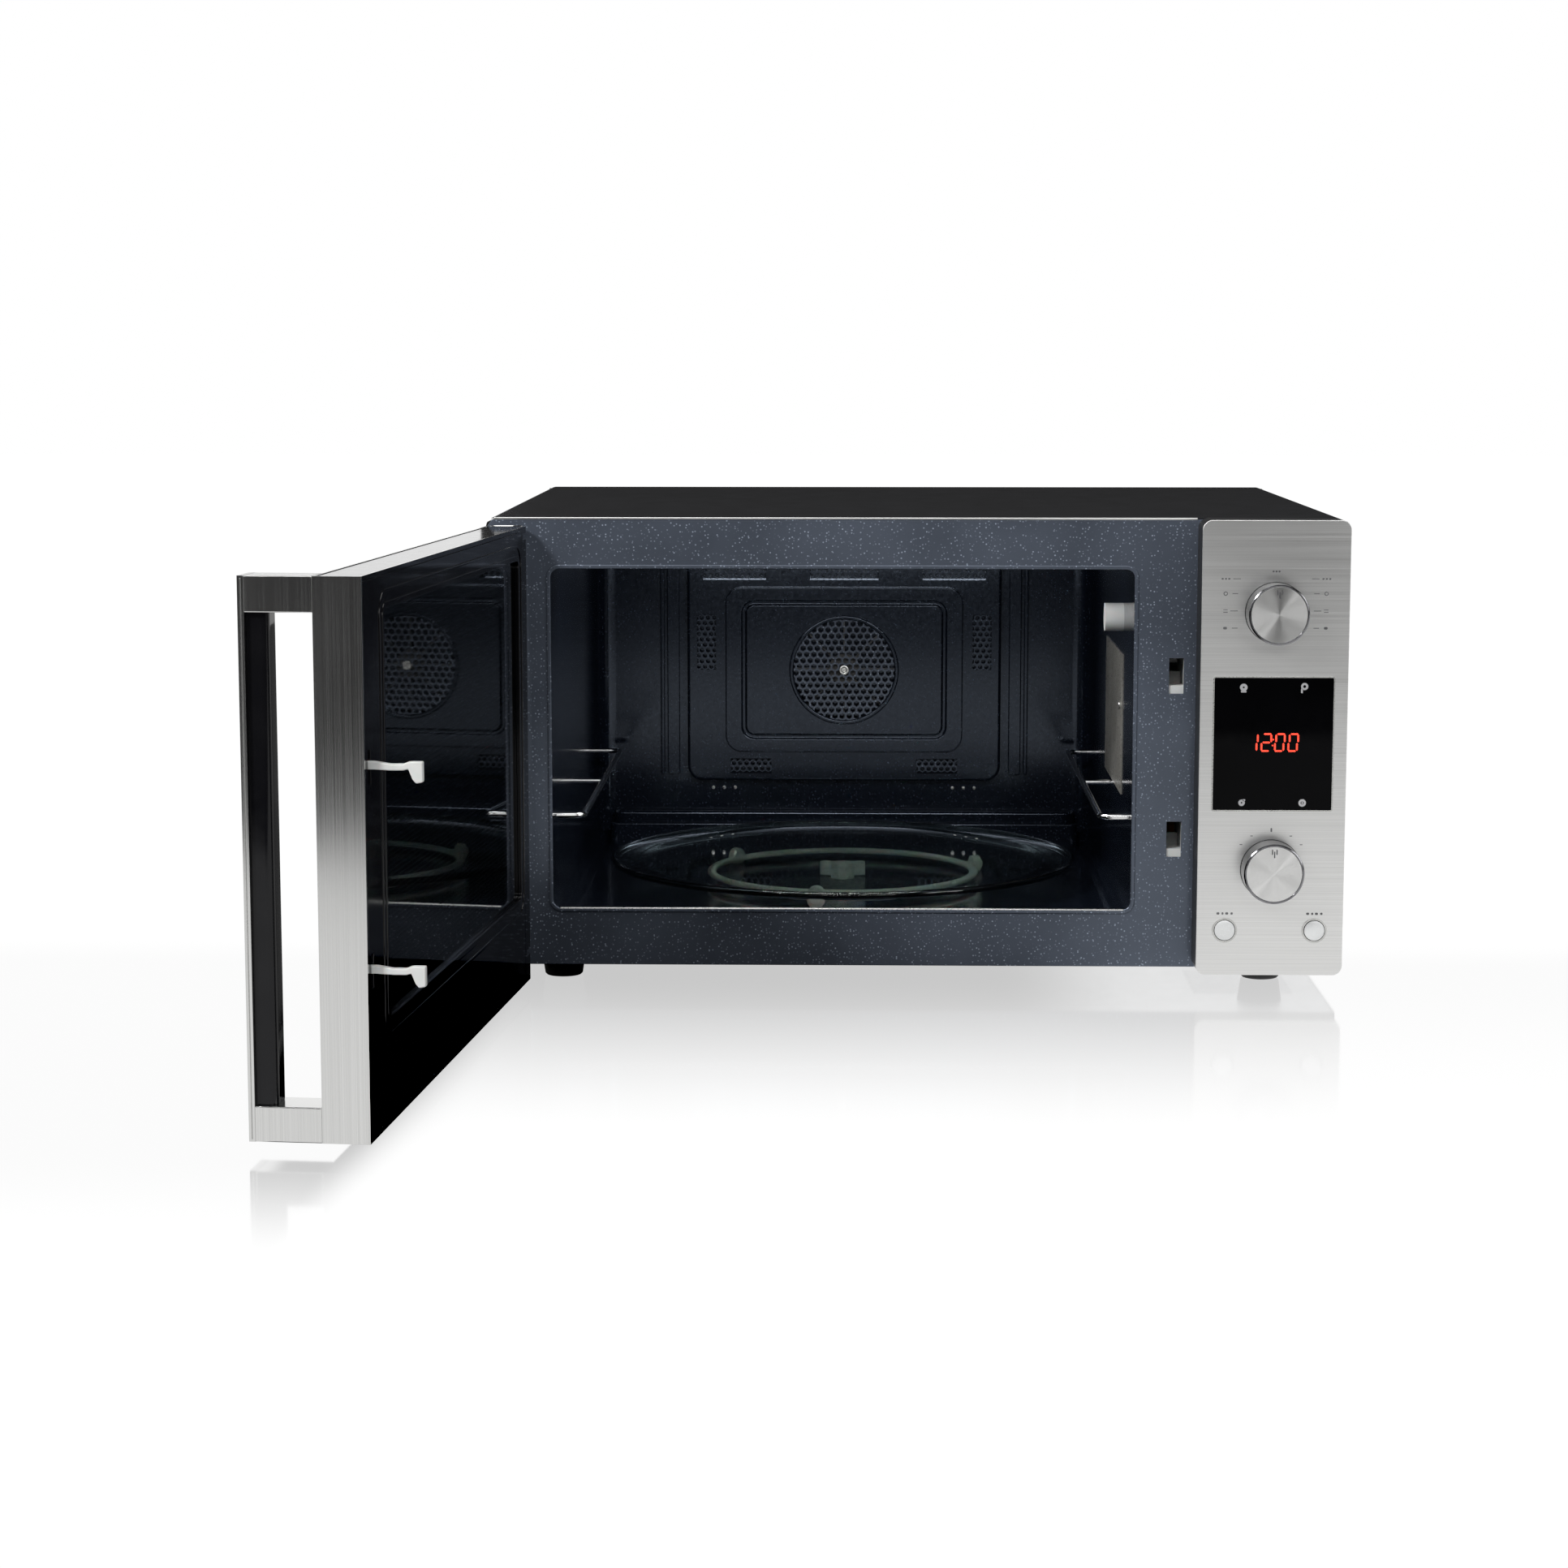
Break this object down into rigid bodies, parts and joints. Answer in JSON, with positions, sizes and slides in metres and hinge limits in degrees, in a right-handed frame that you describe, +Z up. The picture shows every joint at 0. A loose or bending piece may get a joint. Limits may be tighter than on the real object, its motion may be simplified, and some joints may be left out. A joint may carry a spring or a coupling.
{
  "type": "countertop convection microwave oven",
  "caption": "Countertop convection microwave oven with its door open: enamelled cavity, glass turntable, side wire guides, fan baffle, control panel with knobs, buttons and display.",
  "frame": {"origin": "centre of the cabinet's footprint, on the plane that the four feet stand on", "axes": "+Z up, +Y from the front to the back, +X to the right as seen from the front"},
  "size_m": [0.6011, 0.873, 0.294],
  "materials": {
    "cover_paint": "satin black-grey powder coat",
    "zinc_sheet": "bare zinc-plated sheet",
    "speckled_enamel": "glossy dark blue-grey enamel with fine light speckles",
    "brushed_stainless": "vertically and horizontally brushed stainless steel",
    "spun_metal": "spun metal with a radial highlight",
    "black_glass": "black glass",
    "clear_glass": "greenish clear glass",
    "window_glass": "tinted glass",
    "black_plastic": "gloss black moulding",
    "grip_plastic": "black moulding",
    "latch_plastic": "light grey moulding",
    "button_plastic": "light grey moulding",
    "carrier_plastic": "dark moulding",
    "roller_plastic": "natural light moulding",
    "rubber_foot": "matt",
    "chrome_wire": "bright wire",
    "mica": "light mica sheet",
    "mesh_sheet": "perforated black enamelled sheet",
    "heater_sheath": "heat-tinted sheath",
    "plated_steel": "zinc-plated steel",
    "motor_steel": "plated motor shell",
    "copper_coil": "enamelled winding",
    "lamination": "varnished lamination stack",
    "board": "green circuit board",
    "fan_plastic": "dark moulding",
    "spring_wire": "spring wire",
    "lamp_glass": "clear lamp glass",
    "magnetron_fins": "stacked fins"
  },
  "bodies": {
    "cabinet": {"outer_cover": "cover_paint", "base_plate": "zinc_sheet", "rear_panel": "zinc_sheet", "motor_cover": "zinc_sheet", "cover_screws": "plated_steel", "feet": "rubber_foot", "front_frame": "speckled_enamel", "cavity_liner": "speckled_enamel", "convection_baffle": "speckled_enamel", "convection_chamber": "zinc_sheet", "ring_heater": "heater_sheath", "convection_motor": "motor_steel", "turntable_motor": "motor_steel", "tray_guides": "chrome_wire", "waveguide_cover": "mica", "waveguide": "zinc_sheet", "magnetron": "magnetron_fins", "transformer_core": "lamination", "transformer_winding": "copper_coil", "capacitor": "plated_steel", "fan_shroud": "fan_plastic", "cooling_motor": "lamination", "air_duct": "fan_plastic", "lamp_cover": "latch_plastic", "lamp_bulb": "lamp_glass", "lamp_holder": "latch_plastic", "thermostat": "plated_steel", "filter_board": "board", "cable_inlet": "fan_plastic", "hinge_plates": "plated_steel", "latch_board": "latch_plastic", "interlock_switches": "carrier_plastic", "panel_skin": "brushed_stainless", "panel_carrier": "carrier_plastic", "display_window": "black_glass", "control_board": "board", "display_module": "carrier_plastic", "key_switches": "carrier_plastic", "rotary_encoders": "carrier_plastic"},
    "door": {"door_frame": "brushed_stainless", "door_glass": "black_glass", "choke_plate": "mesh_sheet", "inner_cover": "black_plastic", "inner_window": "window_glass", "door_handle": "brushed_stainless", "handle_grip": "grip_plastic", "latch_spring": "spring_wire"},
    "latch": {"latch_bar": "latch_plastic"},
    "turntable": {"glass_tray": "clear_glass", "turntable_coupler": "roller_plastic"},
    "roller_ring": {"roller_ring": "roller_plastic"},
    "roller_1": {"roller_1": "roller_plastic"},
    "roller_2": {"roller_2": "roller_plastic"},
    "roller_3": {"roller_3": "roller_plastic"},
    "convection_fan": {"convection_fan": "plated_steel"},
    "cooling_fan": {"cooling_fan": "fan_plastic"},
    "mode_knob": {"mode_knob": "spun_metal"},
    "dial_knob": {"dial_knob": "spun_metal"},
    "left_button": {"left_button": "button_plastic"},
    "right_button": {"right_button": "button_plastic"}
  },
  "joints": [
    {"name": "door_hinge", "type": "hinge", "parent": "cabinet", "child": "door", "pos_m": [-0.251, -0.22, 0], "axis": [0, 0, 1], "range_deg": [-5, 95]},
    {"name": "latch_slide", "type": "slide", "parent": "door", "child": "latch", "axis": [0, 0, 1], "range_m": [0, 0.0045], "stiffness_N_per_m": 400, "springref_m": -0.004, "deforming": ["latch_spring"]},
    {"name": "turntable_turn", "type": "hinge", "parent": "cabinet", "child": "turntable", "pos_m": [-0.0445, -0.02, 0.034], "axis": [0, 0, 1], "continuous": true},
    {"name": "roller_ring_turn", "type": "hinge", "parent": "cabinet", "child": "roller_ring", "pos_m": [-0.0445, -0.02, 0.034], "axis": [0, 0, 1], "continuous": true},
    {"name": "roller_1_spin", "type": "hinge", "parent": "roller_ring", "child": "roller_1", "pos_m": [0.04665, 0.01318, 0.0401], "axis": [0.9397, 0.342, 0], "continuous": true},
    {"name": "roller_2_spin", "type": "hinge", "parent": "roller_ring", "child": "roller_2", "pos_m": [-0.11881, 0.04235, 0.0401], "axis": [-0.766, 0.6428, 0], "continuous": true},
    {"name": "roller_3_spin", "type": "hinge", "parent": "roller_ring", "child": "roller_3", "pos_m": [-0.06134, -0.11553, 0.0401], "axis": [-0.1736, -0.9848, 0], "continuous": true},
    {"name": "convection_fan_spin", "type": "hinge", "parent": "cabinet", "child": "convection_fan", "pos_m": [-0.0445, 0.17, 0.163], "axis": [0, 1, 0], "continuous": true},
    {"name": "cooling_fan_spin", "type": "hinge", "parent": "cabinet", "child": "cooling_fan", "pos_m": [0.202, 0.146, 0.192], "axis": [0, 1, 0], "continuous": true},
    {"name": "mode_knob_turn", "type": "hinge", "parent": "cabinet", "child": "mode_knob", "pos_m": [0.219, -0.232, 0.238], "axis": [0, 1, 0], "range_deg": [-135, 135]},
    {"name": "dial_knob_turn", "type": "hinge", "parent": "cabinet", "child": "dial_knob", "pos_m": [0.219, -0.232, 0.08], "axis": [0, 1, 0], "continuous": true},
    {"name": "left_button_press", "type": "slide", "parent": "cabinet", "child": "left_button", "axis": [0, 1, 0], "range_m": [0, 0.0008], "stiffness_N_per_m": 800},
    {"name": "right_button_press", "type": "slide", "parent": "cabinet", "child": "right_button", "axis": [0, 1, 0], "range_m": [0, 0.0008], "stiffness_N_per_m": 800}
  ],
  "couplings": [
    {"joint": "roller_ring_turn", "follows": "turntable_turn", "ratio": 0.5},
    {"joint": "roller_1_spin", "follows": "turntable_turn", "ratio": -8.3621},
    {"joint": "roller_2_spin", "follows": "turntable_turn", "ratio": -8.3621},
    {"joint": "roller_3_spin", "follows": "turntable_turn", "ratio": -8.3621}
  ]
}
